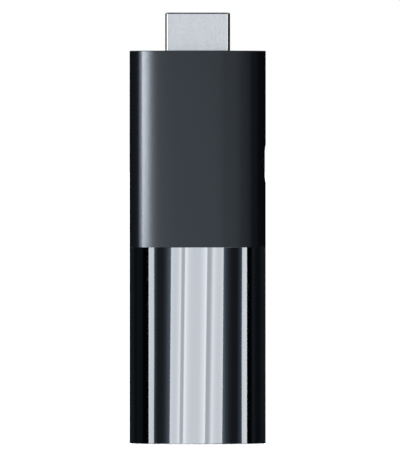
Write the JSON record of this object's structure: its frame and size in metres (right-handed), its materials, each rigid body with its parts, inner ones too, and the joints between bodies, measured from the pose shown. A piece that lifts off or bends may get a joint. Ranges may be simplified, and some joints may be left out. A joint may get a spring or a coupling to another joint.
{
  "type": "streaming media stick",
  "caption": "Slim oval media stick: matte upper half, glossy lower half, metal video plug on the upper end, power socket in the right-hand side.",
  "frame": {"origin": "middle of the flat lower end, on which the stick stands", "axes": "+Z along the stick towards the video plug, front face towards -Y, power socket towards +X"},
  "size_m": [0.0292, 0.0152, 0.0924],
  "materials": {
    "matte_housing": "fine spark-eroded matt",
    "gloss_housing": "piano-black high gloss",
    "frame_plastic": "plain moulded",
    "screw_steel": "zinc plated",
    "plug_steel": "satin nickel plate",
    "socket_steel": "bright tin plate",
    "insulator": "moulded black resin",
    "gold_contacts": "gold plate",
    "circuit_board": "green solder resist",
    "radio_board": "blue solder resist",
    "chip_resin": "moulded epoxy",
    "ferrite": "moulded iron powder",
    "crystal_metal": "plated lid",
    "capacitor_ceramic": "fired ceramic",
    "resistor_ceramic": "coated ceramic",
    "led_resin": "white moulded resin",
    "clear_guide": "clear moulded plastic",
    "shield_sheet": "tinned sheet",
    "thermal_pad": "soft silicone",
    "spreader_aluminium": "plain milled",
    "antenna_metal": "plated spring sheet"
  },
  "bodies": {
    "root": {"upper_housing": "matte_housing", "lower_housing": "gloss_housing", "inner_frame": "frame_plastic", "frame_screws": "screw_steel", "plug_shell": "plug_steel", "plug_insulator": "insulator", "plug_contacts": "gold_contacts", "socket_shell": "socket_steel", "socket_tongue": "insulator", "socket_contacts": "gold_contacts", "main_board": "circuit_board", "soc_chip": "chip_resin", "memory_chips": "chip_resin", "flash_chip": "chip_resin", "power_chip": "chip_resin", "power_inductors": "ferrite", "crystals": "crystal_metal", "capacitors": "capacitor_ceramic", "resistors": "resistor_ceramic", "esd_arrays": "chip_resin", "status_led": "led_resin", "light_guide": "clear_guide", "front_shield_frame": "shield_sheet", "front_shield_lid": "shield_sheet", "rear_shield_frame": "shield_sheet", "rear_shield_lid": "shield_sheet", "soc_thermal_pad": "thermal_pad", "flash_thermal_pad": "thermal_pad", "front_thermal_pad": "thermal_pad", "rear_thermal_pad": "thermal_pad", "front_heat_spreader": "spreader_aluminium", "rear_heat_spreader": "spreader_aluminium", "radio_board": "radio_board", "radio_chip": "chip_resin", "radio_can": "shield_sheet", "main_antenna": "antenna_metal", "second_antenna": "antenna_metal"}
  },
  "joints": []
}
